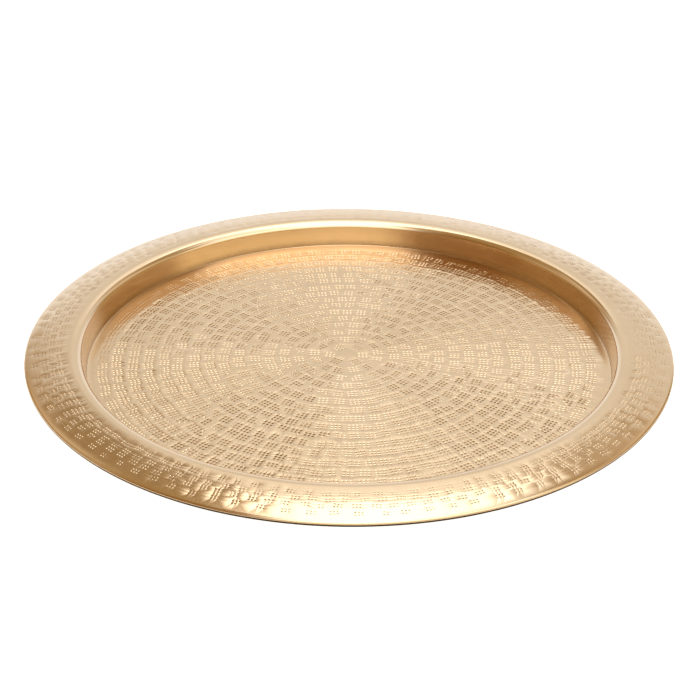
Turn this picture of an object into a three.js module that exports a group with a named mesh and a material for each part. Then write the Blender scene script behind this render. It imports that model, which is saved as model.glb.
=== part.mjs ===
// Round brass serving tray with a broad sloping rim, its edge rolled over a stiffening wire.
// Millimetres, +Z up, +Z is the axis of the round. The origin is the centre of the plane that
// the felt feet rest on.
import * as THREE from 'three';

// Driving dimensions ---------------------------------------------------------------------------
const outerRadius = 250;        // centre to the outside of the rolled edge
const sheet = 0.8;              // thickness of the brass sheet
const crestHeight = 21.3;       // top of the crest above the floor's upper face
const wallLean = 7;             // degrees that the wall leans outwards from upright
const liftAngle = 7;            // degrees that the floor's edge lifts before it turns into the wall
const liftBend = 30;            // radii of the bends, all to the sheet's middle: the floor's edge,
const floorBend = 0.9;          // the turn into the wall,
const brinkBend = 3;            // the tight turn out of the wall,
const crestBend = 7.2;          // the turn over the crest,
const shoulderBend = 20;        // the last, gentler part of that turn,
const rimBow = 140;             // and the rim's slow outward curve
const brinkAngle = 48;          // degrees that the sheet still climbs where the tight turn ends
const shoulderAngle = 12;       // degrees that the sheet still climbs where the gentler part starts
const rimFall = 13.5;           // degrees that the rim slopes down where it meets the bead
const beadDiameter = 4.0;       // outside of the rolled edge
const clearance = 0.3;          // gap between two pieces that touch
const footDiameter = 26;        // felt feet under the floor
const footThickness = 2.0;
const footCount = 4;
const footCircleRadius = 150;   // circle that the feet's centres lie on

// Steps of the faceted surfaces ----------------------------------------------------------------
const turns = 64;               // round the tray
const liftSteps = 2;
const floorBendSteps = 3;
const brinkSteps = 2;
const crestBendSteps = 3;
const shoulderSteps = 2;
const rimSteps = 5;
const curlStepsToWidest = 3;    // from the rim to the outermost point of the bead
const curlSteps = 11;           // in all, which leaves a slit on the inner side
const wireSides = 8;
const footSides = 32;

// Sizes that follow ----------------------------------------------------------------------------
const radians = THREE.MathUtils.degToRad;
const curlRadius = (beadDiameter - sheet) / 2;
const wireRadius = beadDiameter / 2 - sheet - clearance;
const curlSweep = (90 - rimFall) * curlSteps / curlStepsToWidest;
const wallAngle = 90 - wallLean;
const bends = [                 // from the flat floor to the top of the crest, in degrees from level
  { from: 0, to: liftAngle, radius: liftBend },
  { from: liftAngle, to: wallAngle, radius: floorBend },
  { from: wallAngle, to: brinkAngle, radius: brinkBend },
  { from: brinkAngle, to: shoulderAngle, radius: crestBend },
  { from: shoulderAngle, to: 0, radius: shoulderBend },
];
const wallLength = (crestHeight - bendSum(Math.cos)) / Math.sin(radians(wallAngle));
const floorMiddle = footThickness + clearance + sheet / 2;   // height of the middle of the floor sheet

// Materials ------------------------------------------------------------------------------------
const brass = new THREE.MeshStandardMaterial({ color: 0xd9b27c, roughness: 0.35, metalness: 1.0 });
const steel = new THREE.MeshStandardMaterial({ color: 0x8f8f92, roughness: 0.45, metalness: 1.0 });
const felt = new THREE.MeshStandardMaterial({ color: 0x3a2c22, roughness: 0.95, metalness: 0.0 });

// The middle line of a bent sheet, drawn by walking along it: each point keeps the sheet's normal.
class SheetPath {
  constructor(radius, height) {
    this.at = new THREE.Vector2(radius, height);
    this.heading = 0;
    this.points = [];
    this.mark();
  }

  mark() {
    const angle = radians(this.heading);
    const normal = new THREE.Vector2(-Math.sin(angle), Math.cos(angle));
    this.points.push({ at: this.at.clone(), normal });
  }

  straight(length) {
    const angle = radians(this.heading);
    this.at.x += length * Math.cos(angle);
    this.at.y += length * Math.sin(angle);
    this.mark();
  }

  // A positive turn bends the sheet upwards, a negative one downwards.
  bend(degrees, radius, steps) {
    const turn = degrees / steps;
    const chord = 2 * radius * Math.sin(radians(Math.abs(turn)) / 2);
    for (let i = 0; i < steps; i += 1) {
      const angle = radians(this.heading + turn / 2);
      this.at.x += chord * Math.cos(angle);
      this.at.y += chord * Math.sin(angle);
      this.heading += turn;
      this.mark();
    }
  }

  // The closed outline of the sheet: out along its underside and back along its upper side.
  outline(thickness) {
    const side = (offset) => this.points.map(({ at, normal }) => at.clone().addScaledVector(normal, offset));
    return [...side(-thickness / 2), ...side(thickness / 2).reverse()];
  }
}

function revolve(outline) {
  const geometry = new THREE.LatheGeometry(outline, turns);
  geometry.rotateX(Math.PI / 2);
  return geometry;
}

// How far all the bends climb (with cosines) or reach outwards (with sines).
function bendSum(ratio) {
  const share = ({ from, to, radius }) => radius * Math.abs(ratio(radians(to)) - ratio(radians(from)));
  return bends.reduce((sum, bend) => sum + share(bend), 0);
}

// Radial reach of everything outside the flat floor.
function reachBeyondFloor() {
  const wall = wallLength * Math.cos(radians(wallAngle));
  const rim = rimBow * Math.sin(radians(rimFall));
  const bead = curlRadius * (1 - Math.sin(radians(rimFall))) + sheet / 2;
  return bendSum(Math.sin) + wall + rim + bead;
}

// One pressed sheet: floor, wall, crest, sloping rim and the edge rolled over the wire.
function trayPanGeometry() {
  const path = new SheetPath(0, floorMiddle);
  path.straight(outerRadius - reachBeyondFloor());
  path.bend(liftAngle, liftBend, liftSteps);
  path.bend(wallAngle - liftAngle, floorBend, floorBendSteps);
  path.straight(wallLength);
  path.bend(brinkAngle - wallAngle, brinkBend, brinkSteps);
  path.bend(shoulderAngle - brinkAngle, crestBend, crestBendSteps);
  path.bend(-shoulderAngle, shoulderBend, shoulderSteps);
  path.bend(-rimFall, rimBow, rimSteps);
  path.bend(-curlSweep, curlRadius, curlSteps);
  return revolve(path.outline(sheet));
}

// A ring of round wire that fills the rolled edge.
function edgeWireGeometry() {
  const ringRadius = outerRadius - beadDiameter / 2;
  const rimDrop = rimBow * (1 - Math.cos(radians(rimFall)));
  const ringHeight = floorMiddle + crestHeight - rimDrop - curlRadius * Math.cos(radians(rimFall));
  const section = [];
  for (let i = 0; i <= wireSides; i += 1) {
    const angle = (i / wireSides) * 2 * Math.PI;
    const radius = ringRadius + wireRadius * Math.cos(angle);
    section.push(new THREE.Vector2(radius, ringHeight + wireRadius * Math.sin(angle)));
  }
  return revolve(section);
}

function feltFootGeometry() {
  const geometry = new THREE.CylinderGeometry(footDiameter / 2, footDiameter / 2, footThickness, footSides);
  geometry.rotateX(Math.PI / 2);
  return geometry;
}

function piece(name, geometry, material) {
  const mesh = new THREE.Mesh(geometry, material);
  mesh.name = name;
  return mesh;
}

const tray = new THREE.Group();
tray.add(piece('tray_pan', trayPanGeometry(), brass));
tray.add(piece('edge_wire', edgeWireGeometry(), steel));
for (let i = 0; i < footCount; i += 1) {
  const foot = piece(`felt_foot_${i + 1}`, feltFootGeometry(), felt);
  const angle = radians((i + 0.5) * (360 / footCount));
  foot.position.set(footCircleRadius * Math.cos(angle), footCircleRadius * Math.sin(angle), footThickness / 2);
  tray.add(foot);
}

export default tray;
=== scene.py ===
"""A round brass tray in satin light: punched floor, upright wall, sloping rim, wired edge, felt feet.

Metres and radians, in the frame's own axes. The tray's axis is Z and the table is at z = 0.
"""
import math
import random

import bpy
from mathutils import Matrix, Vector, noise


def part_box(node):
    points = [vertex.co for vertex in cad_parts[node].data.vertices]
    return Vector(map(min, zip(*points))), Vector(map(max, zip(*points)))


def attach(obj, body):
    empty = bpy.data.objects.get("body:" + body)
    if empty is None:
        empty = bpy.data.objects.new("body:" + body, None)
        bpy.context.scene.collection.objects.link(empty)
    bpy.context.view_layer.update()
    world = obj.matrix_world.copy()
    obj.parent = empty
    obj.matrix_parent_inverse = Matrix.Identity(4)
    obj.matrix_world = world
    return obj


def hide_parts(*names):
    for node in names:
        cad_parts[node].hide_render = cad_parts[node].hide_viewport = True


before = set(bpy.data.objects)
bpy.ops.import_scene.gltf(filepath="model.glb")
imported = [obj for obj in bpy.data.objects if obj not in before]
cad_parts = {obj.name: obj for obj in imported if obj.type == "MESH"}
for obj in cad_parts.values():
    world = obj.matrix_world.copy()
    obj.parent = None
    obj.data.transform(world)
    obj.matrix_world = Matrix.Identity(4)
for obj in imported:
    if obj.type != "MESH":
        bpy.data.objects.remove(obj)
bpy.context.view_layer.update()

MM = 0.001
TAU = 2 * math.pi

# The pan's section. Its outside, crest and underside come from the frame; the bends are the design's,
# to the sheet's middle. The angles are the sheet's own slope, in the order met from the floor outwards.
PAN_LOW, PAN_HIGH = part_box("tray_pan")
WIRE_LOW, WIRE_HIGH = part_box("edge_wire")
OUTER_RADIUS = PAN_HIGH.x
CREST_TOP = PAN_HIGH.z
SHEET = 0.8 * MM
FLOOR_TOP = PAN_LOW.z + SHEET
LIFT_ANGLE = math.radians(7)
WALL_ANGLE = math.radians(83)
BRINK_ANGLE = math.radians(48)
SHOULDER_ANGLE = math.radians(12)
LIFT_BEND = 30 * MM
FLOOR_BEND = 0.9 * MM
BRINK_BEND = 3 * MM
CREST_BEND = 7.2 * MM
SHOULDER_BEND = 20 * MM
RIM_BOW = 140 * MM
RIM_FALL = math.radians(13.5)
BEAD_RADIUS = 2.0 * MM
CURL_RADIUS = BEAD_RADIUS - SHEET / 2
CURL_SWEEP = math.radians(280.5)
WIRE_RADIUS = (WIRE_HIGH.z - WIRE_LOW.z) / 2
WIRE_HEIGHT = (WIRE_HIGH.z + WIRE_LOW.z) / 2
WIRE_RING = WIRE_HIGH.x - WIRE_RADIUS

RANDOM = random.Random(7)


# Camera ---------------------------------------------------------------------------------------
def look(eye, aim, roll):
    """A camera's place: it looks from eye to aim, then leans clockwise by roll."""
    ahead = (aim - eye).normalized()
    level = ahead.cross(Vector((0, 0, 1))).normalized()
    above = level.cross(ahead)
    right = level * math.cos(roll) + above * math.sin(roll)
    up = above * math.cos(roll) - level * math.sin(roll)
    turn = Matrix((right, up, -ahead)).transposed().to_4x4()
    return Matrix.Translation(eye) @ turn


def make_camera():
    elevation = math.radians(29.135)
    distance = 4.5 * OUTER_RADIUS
    floor_centre = Vector((0, 0, FLOOR_TOP))
    eye = floor_centre + distance * Vector((0, -math.cos(elevation), math.sin(elevation)))
    aim = floor_centre + Vector((0.6, 6.7, 0)) * MM
    lens = bpy.data.cameras.new("camera")
    lens.sensor_width = 36
    lens.lens = 73.3
    lens.clip_start = 0.05
    camera = bpy.data.objects.new("camera", lens)
    camera.matrix_world = look(eye, aim, math.radians(0.49))
    bpy.context.scene.collection.objects.link(camera)
    bpy.context.scene.camera = camera


# Mesh tools -----------------------------------------------------------------------------------
class Skin:
    """One closed sheet, laid loop by loop from its upper face's middle to its underside's middle.

    A loop is a list of point numbers in order of their angle, counter-clockwise from above.
    """

    def __init__(self):
        self.points = []
        # How dark each point is painted: patina and painted shade in the pits, painted shade in the
        # wall's crease, painted shadow on the bead.
        self.patina_and_shade = []
        self.faces = []
        self.crisp = []

    def point(self, x, y, z, patina_and_shade=0.0):
        self.points.append((x, y, z))
        self.patina_and_shade.append(patina_and_shade)
        return len(self.points) - 1

    def face(self, *corners, crisp=False):
        self.faces.append(corners)
        self.crisp.append(crisp)

    def loop(self, radius, height, count, patina_and_shade=0.0):
        made = []
        for i in range(count):
            angle = TAU * i / count
            made.append(self.point(radius * math.cos(angle), radius * math.sin(angle), height, patina_and_shade))
        return made

    def cap(self, height, loop, above):
        middle = self.point(0, 0, height)
        for a, b in zip(loop, loop[1:] + loop[:1]):
            self.face(middle, a, b) if above else self.face(middle, b, a)

    def angles(self, loop):
        """Each point's angle, rising past a full turn back to the first point."""
        found = [math.atan2(self.points[i][1], self.points[i][0]) for i in loop]
        start = min(range(len(loop)), key=lambda i: found[i] % TAU)
        order = loop[start:] + loop[:start]
        turned = [found[(start + i) % len(loop)] % TAU for i in range(len(loop))]
        return order + [order[0]], turned + [turned[0] + TAU]

    def bridge(self, before, after):
        """Fills the strip between two loops, which may hold different numbers of points."""
        a, a_angle = self.angles(before)
        b, b_angle = self.angles(after)
        i = j = 0
        while i < len(a) - 1 or j < len(b) - 1:
            step_a = j == len(b) - 1 or (i < len(a) - 1 and a_angle[i + 1] <= b_angle[j + 1])
            if step_a:
                self.face(a[i], b[j], a[i + 1])
                i += 1
            else:
                self.face(a[i], b[j], b[j + 1])
                j += 1

    def run(self, before, section, count, patina_and_shade=0.0):
        """Carries on from the loop before through the points (radius, height) of a section."""
        for radius, height in section:
            after = self.loop(radius, height, count, patina_and_shade)
            self.bridge(before, after)
            before = after
        return before


class Walk:
    """The middle line of a bent sheet: points (radius, height) and normals, walked outwards."""

    def __init__(self, radius, height):
        self.radius, self.height, self.heading = radius, height, 0.0
        self.marks = []

    def mark(self):
        self.marks.append((self.radius, self.height, -math.sin(self.heading), math.cos(self.heading)))

    def straight(self, length, steps=1):
        for _ in range(steps):
            self.radius += length / steps * math.cos(self.heading)
            self.height += length / steps * math.sin(self.heading)
            self.mark()

    def bend(self, angle, radius, steps):
        turn = angle / steps
        chord = 2 * radius * math.sin(abs(turn) / 2)
        for _ in range(steps):
            self.radius += chord * math.cos(self.heading + turn / 2)
            self.height += chord * math.sin(self.heading + turn / 2)
            self.heading += turn
            self.mark()

    def side(self, offset, first=0, last=None):
        return [(r + offset * nr, h + offset * nh) for r, h, nr, nh in self.marks[first:last]]


def new_object(name, points, faces, material, crisp=None, patina_and_shade=None):
    mesh = bpy.data.meshes.new(name)
    mesh.from_pydata(points, [], faces)
    mesh.materials.append(material)
    crisp = crisp or [False] * len(faces)
    mesh.polygons.foreach_set("use_smooth", [not c for c in crisp])
    # Each point's painted darkening goes on as an attribute: patina and painted shade.
    if patina_and_shade:
        mesh.attributes.new("patina_and_shade", "FLOAT", "POINT").data.foreach_set("value", patina_and_shade)
    mesh.update()
    mesh.validate()
    made = bpy.data.objects.new(name, mesh)
    bpy.context.scene.collection.objects.link(made)
    return made


# The tray's pan -------------------------------------------------------------------------------
BEAD_REACH = CURL_RADIUS * (1 - math.sin(RIM_FALL)) + SHEET / 2
RIM_INNER = OUTER_RADIUS - BEAD_REACH - RIM_BOW * math.sin(RIM_FALL)
RIM_OUTER = OUTER_RADIUS - BEAD_REACH

# Points round a full loop: on the upper face, and underneath.
FINE_COUNT = 288
PLAIN_COUNT = 128

# How dark the metal is painted: 0 where it is clean, about 1 to 1.7 at the bottom of a deep pit, which
# is patina and painted shade, and black past about 2. The crease at the wall's foot gets painted shade,
# the bead's curl a painted black shadow.
CREASE_PAINTED_SHADE = 0.55
BEAD_PAINTED_SHADOW = 2.4

# Steps of the turn into the wall and of the edge's curl. The curl's first steps get no painted shadow.
FLOOR_BEND_STEPS = 5
CURL_STEPS = 18
UNSHADOWED_CURL_STEPS = 4

# The floor's rings of marks, round a plain button. The rings' centre is a little off the tray's axis.
# The marks' pitch is measured a little inside a ring's middle, where they stand closer together.
BUTTON_RADIUS = 4 * MM
FLOOR_CENTRE = (-2.0 * MM, -1.0 * MM)
FIRST_RING = 13.6 * MM
FIRST_RING_MARKS = 6
RING_PITCH = 11.8 * MM
RING_SHIFT = 0.6 * MM
RINGS = 16
MARK_PITCH = 10.8 * MM

# Where the rim's rows of marks lie, as a share of its width, and the marks' pitch along each row.
RIM_ROWS = ((0.23, 11.5 * MM), (0.41, 11.5 * MM), (0.59, 11.5 * MM), (0.78, 15.5 * MM))


def ripple(x, y, height, length):
    """A smooth, shallow unevenness left by the hand work."""
    return height * noise.noise(Vector((x / length, y / length, 0.37)))


def rim_top(x, y):
    """The rim's upper face: a shallow arc that falls from the crest to the bead, slightly beaten.

    The hammer leaves dents and a slight hollow, which fade out at the crest and at the bead.
    """
    bow = RIM_BOW + SHEET / 2
    radius = math.hypot(x, y)
    smooth = CREST_TOP - bow + math.sqrt(bow**2 - (radius - RIM_INNER) ** 2)
    beaten = min(1.0, (radius - RIM_INNER) / (6 * MM), (RIM_OUTER - radius) / (3 * MM))
    dents = ripple(x, y, 0.008 * MM, 9 * MM) + ripple(x, y, 0.08 * MM, 35 * MM)
    hollow = 0.1 * MM
    return smooth + beaten * (dents - hollow)


def floor_top(x, y):
    return FLOOR_TOP + ripple(x, y, 0.10 * MM, 45 * MM) + ripple(x, y, 0.03 * MM, 12 * MM)


class Punch:
    """A square punch with a grid of teeth, blunt or pointed: each sinks a square pit in the sheet."""

    # A blunt tooth's end as a share of its width, and how far the ground between the pits sinks
    # as a share of their depth.
    BLUNT_END = 0.4
    GROUND_SINKS = 0.09

    # The pits' bottoms are painted darker: patina and painted shade.
    def __init__(self, across, deep, pitch, tooth, depth, stain, pointed=False):
        self.across, self.deep, self.pitch, self.tooth = across, deep, pitch, tooth
        self.depth, self.stain, self.pointed = depth, stain, pointed

    @staticmethod
    def edges(count, pitch, tooth):
        """Where each pit's two edges lie along one side of the punch, from its middle."""
        middles = [(i - (count - 1) / 2) * pitch for i in range(count)]
        return [m + s * tooth / 2 for m in middles for s in (-1, 1)]


def sink_pit(skin, place, corners, u, v, punch, bite):
    """One tooth's pit, from the four corners of its mouth down to a point or a small flat end."""
    # The pit's bottom is painted darker: patina and painted shade.
    depth, stain = punch.depth * bite, punch.stain * bite
    if punch.pointed:
        tip = place(u, v, depth, stain)
        for a, b in zip(corners, corners[1:] + corners[:1]):
            skin.face(a, b, tip, crisp=True)
        return
    half = punch.tooth * punch.BLUNT_END / 2
    ends = ((-half, -half), (-half, half), (half, half), (half, -half))
    low = [place(u + du, v + dv, depth, stain) for du, dv in ends]
    for a in range(4):
        b = (a + 1) % 4
        skin.face(corners[a], corners[b], low[b], low[a], crisp=True)
    skin.face(*low, crisp=True)


# How unlike the blows are. The first is a share of the marks' pitch, the twists are in degrees. A pit's
# bite is 1 at full depth, and a punch that leans bites less on one side.
SHIFT_ALONG = 0.10
SHIFT_OUT = 0.7 * MM
TWIST = 4.5
MOST_TWIST = 9.0
PIT_SHIFT = 0.12 * MM
LEAN = 0.35
EVEN_BITE = 0.85
LEAST_BITE = 0.12
WEAKEST, STRONGEST = 0.6, 1.1


def stamped_ring(skin, before, top, radius, count, punch, force, centre=(0.0, 0.0)):
    """A ring of punch marks: joins it to the loop before and returns its own outer loop.

    top(x, y) is the sheet's height and force(angle) says how hard the punch was struck there. No two
    blows are alike: each has its own place, twist, lean and strength.
    """
    us = punch.edges(punch.across, punch.pitch, punch.tooth)
    vs = punch.edges(punch.deep, punch.pitch, punch.tooth)
    start = RANDOM.uniform(0, TAU)
    grids = []
    for k in range(count):
        angle = start + TAU * (k + RANDOM.uniform(-SHIFT_ALONG, SHIFT_ALONG)) / count
        reach = radius + RANDOM.uniform(-SHIFT_OUT, SHIFT_OUT)
        twist = max(-MOST_TWIST, min(MOST_TWIST, RANDOM.gauss(0, TWIST)))
        turn = angle + math.radians(twist)
        lean_u, lean_v = (RANDOM.gauss(0, LEAN) / us[-1] for _ in range(2))
        struck = force(angle) * RANDOM.uniform(WEAKEST, STRONGEST)
        middle = (centre[0] + reach * math.cos(angle), centre[1] + reach * math.sin(angle))
        out, along = (math.cos(turn), math.sin(turn)), (-math.sin(turn), math.cos(turn))

        def place(u, v, depth, stain=0.0):
            x = middle[0] + u * along[0] + v * out[0]
            y = middle[1] + u * along[1] + v * out[1]
            return skin.point(x, y, top(x, y) - depth, stain)

        grid = [[place(u, v, punch.depth * struck * punch.GROUND_SINKS) for u in us] for v in vs]
        for r in range(len(vs) - 1):
            for c in range(len(us) - 1):
                corners = (grid[r][c], grid[r + 1][c], grid[r + 1][c + 1], grid[r][c + 1])
                if r % 2 or c % 2:
                    skin.face(*corners)
                    continue
                u = (us[c] + us[c + 1]) / 2 + RANDOM.uniform(-PIT_SHIFT, PIT_SHIFT)
                v = (vs[r] + vs[r + 1]) / 2 + RANDOM.uniform(-PIT_SHIFT, PIT_SHIFT)
                share = min(1.0, max(LEAST_BITE, EVEN_BITE + lean_u * u + lean_v * v))
                sink_pit(skin, place, corners, u, v, punch, struck * share)
        grids.append(grid)
    for here, there in zip(grids, grids[1:] + grids[:1]):
        for r in range(len(vs) - 1):
            skin.face(here[r][-1], here[r + 1][-1], there[r + 1][0], there[r][0])
    inner = [p for grid in grids for p in grid[0]]
    outer = [p for grid in grids for p in grid[-1]]
    skin.bridge(before, inner)
    return outer


# A punch's last figure is how dark its pits' bottoms are painted: patina and painted shade.
FLOOR_PUNCH = Punch(3, 3, 2.9 * MM, 1.75 * MM, 0.48 * MM, 0.9)
RIM_PUNCH = Punch(3, 2, 2.3 * MM, 1.2 * MM, 0.33 * MM, 1.6, pointed=True)


def floor_force(radius, last):
    """The blows are lighter towards the middle and the back, and in the last ring by the wall."""
    growing = min(1.0, 0.65 + 0.35 * radius / (120 * MM))

    def force(angle):
        even = growing * (1 - 0.12 * math.sin(angle))
        return even * (0.6 + 0.25 * math.cos(angle)) if last else even

    return force


def rim_force(angle):
    """Even blows all round."""
    return 1.0


def punched_floor(skin, edge_radius):
    """The floor from its plain button outwards. Returns its last loop."""
    half = FLOOR_PUNCH.deep * FLOOR_PUNCH.pitch / 2
    loop = skin.loop(BUTTON_RADIUS, FLOOR_TOP, 24)
    skin.cap(FLOOR_TOP, loop, above=True)
    for k in range(RINGS):
        radius = FIRST_RING + RING_PITCH * k + RANDOM.uniform(-RING_SHIFT, RING_SHIFT)
        count = FIRST_RING_MARKS if k == 0 else int(TAU * (radius - half * 0.4) / MARK_PITCH)
        force = floor_force(radius, last=k == RINGS - 1)
        loop = stamped_ring(skin, loop, floor_top, radius, count, FLOOR_PUNCH, force, FLOOR_CENTRE)
    return skin.run(loop, [(edge_radius, FLOOR_TOP)], FINE_COUNT)


def punched_rim(skin, loop):
    """The rim from the crest to the last plain band. Returns its last loop."""
    width = RIM_OUTER - RIM_INNER
    for share, pitch in RIM_ROWS:
        radius = RIM_INNER + share * width
        count = int(TAU * radius / pitch)
        loop = stamped_ring(skin, loop, rim_top, radius, count, RIM_PUNCH, rim_force)
    return loop


def section_walk():
    """The section from the flat floor's edge outwards.

    Also returns how many marks it has at the wall's foot, at the crest and at the rim's end.
    """
    bends = (
        (0, LIFT_ANGLE, LIFT_BEND, 3),
        (LIFT_ANGLE, WALL_ANGLE, FLOOR_BEND, FLOOR_BEND_STEPS),
        (WALL_ANGLE, BRINK_ANGLE, BRINK_BEND, 4),
        (BRINK_ANGLE, SHOULDER_ANGLE, CREST_BEND, 4),
        (SHOULDER_ANGLE, 0, SHOULDER_BEND, 3),
    )
    rise = sum(radius * abs(math.cos(start) - math.cos(end)) for start, end, radius, _ in bends)
    reach = sum(radius * abs(math.sin(end) - math.sin(start)) for start, end, radius, _ in bends)
    wall_length = (CREST_TOP - FLOOR_TOP - rise) / math.sin(WALL_ANGLE)
    floor_edge = RIM_INNER - reach - wall_length * math.cos(WALL_ANGLE)
    walk = Walk(floor_edge, FLOOR_TOP - SHEET / 2)
    walk.mark()
    for start, end, radius, steps in bends:
        walk.bend(end - start, radius, steps)
        if end == WALL_ANGLE:
            foot = len(walk.marks)
            walk.straight(wall_length, 2)
    crest = len(walk.marks)
    walk.bend(-RIM_FALL, RIM_BOW, 8)
    rim_end = len(walk.marks)
    walk.bend(-CURL_SWEEP, CURL_RADIUS, CURL_STEPS)
    return walk, foot, crest, rim_end


def make_pan(material):
    skin = Skin()
    walk, foot, crest, rim_end = section_walk()
    crease = foot - FLOOR_BEND_STEPS + 1
    stained = rim_end + UNSHADOWED_CURL_STEPS
    upper = SHEET / 2
    loop = punched_floor(skin, walk.marks[0][0])
    loop = skin.run(loop, walk.side(upper, 1, crease), FINE_COUNT)
    # Painted shade in the crease at the wall's foot.
    loop = skin.run(loop, walk.side(upper, crease, foot), FINE_COUNT, CREASE_PAINTED_SHADE)
    loop = skin.run(loop, walk.side(upper, foot, crest), FINE_COUNT)
    loop = punched_rim(skin, loop)
    loop = skin.run(loop, walk.side(upper, rim_end - 1, stained), FINE_COUNT)
    # A painted black shadow on the rest of the bead's curl.
    loop = skin.run(loop, walk.side(upper, stained), FINE_COUNT, BEAD_PAINTED_SHADOW)
    under = walk.side(-upper)[::-2]
    loop = skin.run(loop, under, PLAIN_COUNT)
    skin.cap(FLOOR_TOP - SHEET, loop, above=False)
    return new_object("tray_pan_skin", skin.points, skin.faces, material, skin.crisp, skin.patina_and_shade)


# Smaller pieces -------------------------------------------------------------------------------
def make_wire(material):
    skin = Skin()
    sides = 12
    section = []
    for i in range(sides):
        angle = TAU * i / sides
        radius = WIRE_RING + WIRE_RADIUS * math.cos(angle)
        section.append((radius, WIRE_HEIGHT - WIRE_RADIUS * math.sin(angle)))
    loops = [skin.loop(r, h, FINE_COUNT) for r, h in section]
    for a, b in zip(loops, loops[1:] + loops[:1]):
        skin.bridge(b, a)
    return new_object("edge_wire_ring", skin.points, skin.faces, material)


def make_foot(node, material):
    """A pressed felt disc with worn edges and a slightly uneven face."""
    low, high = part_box(node)
    middle = (low + high) / 2
    radius, thick = (high.x - low.x) / 2, high.z - low.z
    soft = 0.5 * MM
    walk = [(radius - soft, 0.0)]
    walk += [(radius - soft * (1 - math.sin(a)), soft * (1 - math.cos(a))) for a in (0.5, 1.0, 1.57)]
    walk += [(radius, thick * 0.6), (radius - 0.12 * MM, thick)]
    skin = Skin()
    count = 96
    loops = [skin.loop(r, h, count) for r, h in [(radius * 0.5, 0.0)] + walk + [(radius * 0.5, thick)]]
    for a, b in zip(loops, loops[1:]):
        skin.bridge(b, a)
    skin.cap(0.0, loops[0], above=False)
    skin.cap(thick, loops[-1], above=True)
    fuzz = random.Random(node)
    points = []
    for x, y, z in skin.points:
        shrink = 1 - fuzz.uniform(0, 0.012)
        points.append((middle.x + x * shrink, middle.y + y * shrink, low.z + z))
    return new_object(node + "_disc", points, skin.faces, material)


# Node tools -----------------------------------------------------------------------------------
class Nodes:
    """A shader's node tree, built one node at a time. A value is a number, a tuple or a socket."""

    def __init__(self, tree):
        self.tree = tree

    def put(self, value, socket):
        if isinstance(value, (int, float, tuple)):
            socket.default_value = value
        else:
            self.tree.links.new(value, socket)

    def add(self, kind, *values, **settings):
        node = self.tree.nodes.new(kind)
        for key, value in settings.items():
            setattr(node, key, value)
        for value, socket in zip(values, node.inputs):
            self.put(value, socket)
        return node

    def math(self, operation, *values):
        return self.add("ShaderNodeMath", *values, operation=operation).outputs[0]

    def noise(self, where, scale, detail=3.0, roughness=0.5):
        node = self.add("ShaderNodeTexNoise")
        values = {"Vector": where, "Scale": scale, "Detail": detail, "Roughness": roughness}
        for name, value in values.items():
            self.put(value, node.inputs[name])
        return node.outputs["Fac"]

    def between(self, value, low, high, out_low=0.0, out_high=1.0, smooth=False):
        """Maps low..high to out_low..out_high, and holds the ends."""
        kind = "SMOOTHSTEP" if smooth else "LINEAR"
        values = (value, low, high, out_low, out_high)
        return self.add("ShaderNodeMapRange", *values, interpolation_type=kind).outputs["Result"]

    def mix(self, factor, one, other):
        node = self.add("ShaderNodeMix", data_type="RGBA")
        for name, value in (("Factor", factor), ("A", one), ("B", other)):
            socket = next(s for s in node.inputs if s.name == name and s.enabled)
            self.put(value, socket)
        return next(s for s in node.outputs if s.enabled)


class Finish(Nodes):
    """A material with one Principled surface."""

    def __init__(self, name):
        self.material = bpy.data.materials.new(name)
        self.material.use_nodes = True
        super().__init__(self.material.node_tree)
        self.surface = self.tree.nodes["Principled BSDF"].inputs
        self.where = self.add("ShaderNodeTexCoord").outputs["Object"]

    def bump(self, height, strength, distance):
        node = self.add("ShaderNodeBump")
        for name, value in (("Strength", strength), ("Distance", distance), ("Height", height)):
            self.put(value, node.inputs[name])
        self.put(node.outputs["Normal"], self.surface["Normal"])


# Materials ------------------------------------------------------------------------------------
def brass():
    made = Finish("brass_satin")
    clouds = made.between(made.noise(made.where, 9, 4), 0.35, 0.65)
    colour = made.mix(clouds, (0.78, 0.58, 0.38, 1), (0.82, 0.62, 0.42, 1))
    # Darker towards the pits' bottoms, which is patina and painted shade, and in the crease at the
    # wall's foot, which is painted shade.
    patina_and_shade = made.add("ShaderNodeAttribute", attribute_name="patina_and_shade").outputs["Fac"]
    patina_and_shade_amount = made.between(patina_and_shade, 0.2, 0.9, 0.0, 0.85)
    patina_and_shade_colour = made.mix(patina_and_shade_amount, colour, (0.20, 0.11, 0.05, 1))
    # Near black past about 1.7: a painted shadow on the bead's curl, and painted shade in the deepest
    # rim pits.
    painted_black_shade = made.between(patina_and_shade, 1.7, 2.2)
    made.put(made.mix(painted_black_shade, patina_and_shade_colour, (0.03, 0.02, 0.015, 1)), made.surface["Base Color"])
    made.put(1.0, made.surface["Metallic"])
    smears = made.between(made.noise(made.where, 35, 5, 0.6), 0.3, 0.7, 0.14, 0.20)
    made.put(made.math("ADD", smears, made.math("MULTIPLY", patina_and_shade_amount, 0.12)), made.surface["Roughness"])
    made.bump(made.noise(made.where, 900, 2), 0.04, 0.0002)
    return made.material


def steel_wire():
    made = Finish("drawn_wire")
    specks = made.between(made.noise(made.where, 300, 3), 0.4, 0.7)
    made.put(made.mix(specks, (0.50, 0.48, 0.45, 1), (0.30, 0.25, 0.20, 1)), made.surface["Base Color"])
    made.put(1.0, made.surface["Metallic"])
    made.put(made.between(specks, 0, 1, 0.35, 0.6), made.surface["Roughness"])
    return made.material


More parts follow.
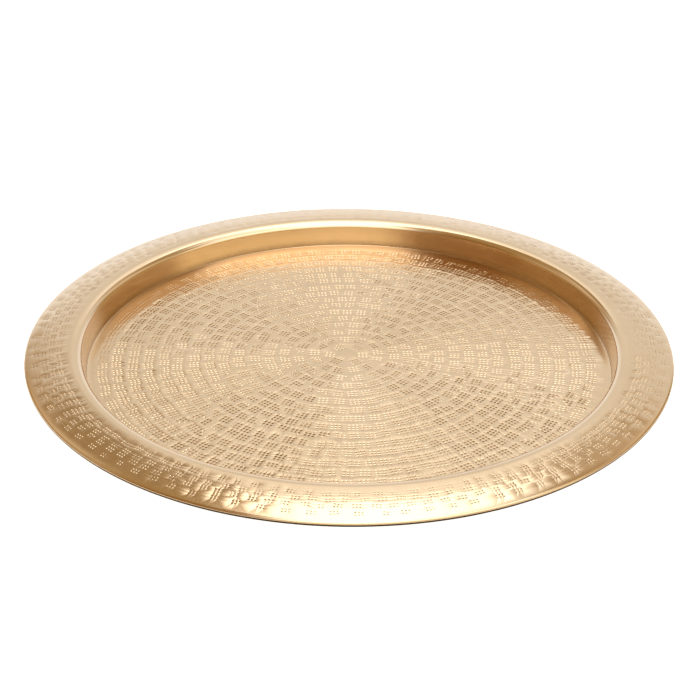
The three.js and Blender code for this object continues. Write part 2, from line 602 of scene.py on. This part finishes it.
def felt():
    made = Finish("pressed_felt")
    fibres = made.noise(made.where, 1400, 4, 0.7)
    tone = made.between(fibres, 0.35, 0.65)
    made.put(made.mix(tone, (0.05, 0.03, 0.02, 1), (0.13, 0.09, 0.06, 1)), made.surface["Base Color"])
    made.put(0.95, made.surface["Roughness"])
    made.put(0.3, made.surface["Sheen Weight"])
    made.bump(fibres, 0.6, 0.0003)
    return made.material


def pale_floor():
    """Matt white board, so evenly lit from below that hardly a shadow shows on it."""
    made = Finish("pale_floor")
    shade = made.noise(made.where, 2, 2)
    made.put(made.mix(shade, (0.92, 0.92, 0.92, 1), (0.94, 0.94, 0.94, 1)), made.surface["Base Color"])
    made.put(0.9, made.surface["Roughness"])
    made.put(0.0, made.surface["Specular IOR Level"])
    made.put((1, 1, 1, 1), made.surface["Emission Color"])
    seen = made.add("ShaderNodeLightPath").outputs["Is Camera Ray"]
    made.put(made.math("MULTIPLY", seen, 0.9), made.surface["Emission Strength"])
    return made.material


# Studio ---------------------------------------------------------------------------------------
class Sky(Nodes):
    """The light all round: soft-edged panels in a dim, warm room. Angles are in degrees.

    A panel's bearing is measured from the back of the studio, clockwise from above.
    """

    def __init__(self, world, room):
        world.use_nodes = True
        super().__init__(world.node_tree)
        self.ray = self.add("ShaderNodeTexCoord").outputs["Generated"]
        self.x, self.y, self.z = self.add("ShaderNodeSeparateXYZ", self.ray).outputs
        self.light = room

    def window(self, value, low, high, soft):
        rise = self.between(value, low - soft, low + soft, 0, 1, smooth=True)
        fall = self.between(value, high - soft, high + soft, 1, 0, smooth=True)
        return self.math("MULTIPLY", rise, fall)

    def wall(self, bearing, half_width, low, high, soft, colour):
        """A panel that stands round the horizon, from elevation low to high."""
        turned = self.add("ShaderNodeVectorRotate", rotation_type="Z_AXIS")
        self.put(self.ray, turned.inputs["Vector"])
        self.put(math.radians(bearing), turned.inputs["Angle"])
        x, y, z = self.add("ShaderNodeSeparateXYZ", turned.outputs["Vector"]).outputs
        across = self.math("DEGREES", self.math("ARCTAN2", x, y))
        above = self.math("DEGREES", self.math("ARCSINE", z))
        across = self.window(across, -half_width, half_width, soft)
        panel = self.math("MULTIPLY", across, self.window(above, low, high, soft / 3))
        self.light = self.mix(panel, self.light, colour)

    def ceiling(self, left, right, front, back, soft, colour):
        """A level panel overhead, with its edges measured from the tray at a height of 1."""
        height = self.math("MAXIMUM", self.z, 0.001)
        x, y = self.math("DIVIDE", self.x, height), self.math("DIVIDE", self.y, height)
        across = self.window(x, left, right, soft)
        panel = self.math("MULTIPLY", across, self.window(y, front, back, soft))
        self.light = self.mix(panel, self.light, colour)

    def finish(self):
        """The camera itself sees plain white all round."""
        seen = self.add("ShaderNodeLightPath").outputs["Is Camera Ray"]
        background = self.tree.nodes["Background"].inputs["Color"]
        self.put(self.mix(seen, self.light, (1, 1, 1, 1)), background)


def make_studio():
    size = 6.0
    corners = [(-size, -size, 0), (size, -size, 0), (size, size, 0), (-size, size, 0)]
    new_object("studio_floor", corners, [(0, 1, 2, 3)], pale_floor())
    bpy.context.scene.world = bpy.data.worlds.new("studio")
    sky = Sky(bpy.context.scene.world, room=(0.42, 0.29, 0.13, 1))
    # A dark wall behind the camera, on its left.
    sky.wall(bearing=-130, half_width=32, low=-8, high=58, soft=9, colour=(0.32, 0.18, 0.06, 1))
    # The back of the room, left and right, which the sides of the floor and the rim mirror.
    sky.wall(bearing=-60, half_width=32, low=27, high=38, soft=9, colour=(0.74, 0.58, 0.42, 1))
    sky.wall(bearing=-60, half_width=24, low=38, high=46, soft=9, colour=(0.50, 0.38, 0.22, 1))
    sky.wall(bearing=-40, half_width=7, low=34, high=46, soft=5, colour=(0.85, 0.72, 0.52, 1))
    sky.wall(bearing=62, half_width=36, low=27, high=43, soft=9, colour=(0.80, 0.67, 0.49, 1))
    # The pale middle of the back, with a dark gap on either side of it higher up.
    sky.wall(bearing=6, half_width=31, low=-8, high=35, soft=9, colour=(0.85, 0.835, 0.785, 1))
    sky.wall(bearing=-22, half_width=10, low=31, high=48, soft=7, colour=(0.38, 0.27, 0.14, 1))
    sky.wall(bearing=29, half_width=6, low=36, high=48, soft=6, colour=(0.56, 0.43, 0.28, 1))
    sky.wall(bearing=0, half_width=38, low=-8, high=18, soft=9, colour=(1.05, 1.09, 1.14, 1))
    # Windows behind the camera, on its right, which the tray's far wall mirrors.
    sky.wall(bearing=155, half_width=57, low=22, high=40, soft=9, colour=(1.2, 1.15, 1.0, 1))
    sky.wall(bearing=155, half_width=57, low=40, high=58, soft=9, colour=(2.0, 2.1, 2.3, 1))
    sky.wall(bearing=150, half_width=52, low=8, high=25, soft=9, colour=(1.33, 1.24, 0.85, 1))
    # Lamps above the back and overhead, which the front of the rim and the crest mirror.
    sky.wall(bearing=2, half_width=12, low=33, high=46, soft=5, colour=(1.2, 1.2, 1.15, 1))
    sky.ceiling(left=-0.36, right=0.95, front=-1.0, back=-0.3, soft=0.12, colour=(2.1, 2.1, 2.0, 1))
    sky.ceiling(left=0.0, right=0.70, front=-0.4, back=0.30, soft=0.12, colour=(1.4, 1.4, 1.3, 1))
    sky.ceiling(left=0.1, right=0.38, front=0.2, back=1.0, soft=0.05, colour=(1.2, 1.2, 1.15, 1))
    sky.ceiling(left=-0.19, right=0.26, front=-0.6, back=0.93, soft=0.04, colour=(2.5, 2.5, 2.4, 1))
    sky.finish()
    bpy.context.scene.view_settings.view_transform = "Standard"


# Assembly -------------------------------------------------------------------------------------
def fit(piece, node):
    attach(piece, "root")
    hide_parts(node)


make_camera()
fit(make_pan(brass()), "tray_pan")
fit(make_wire(steel_wire()), "edge_wire")
felt_material = felt()
for name in sorted(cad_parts):
    if name.startswith("felt_foot"):
        fit(make_foot(name, felt_material), name)
make_studio()
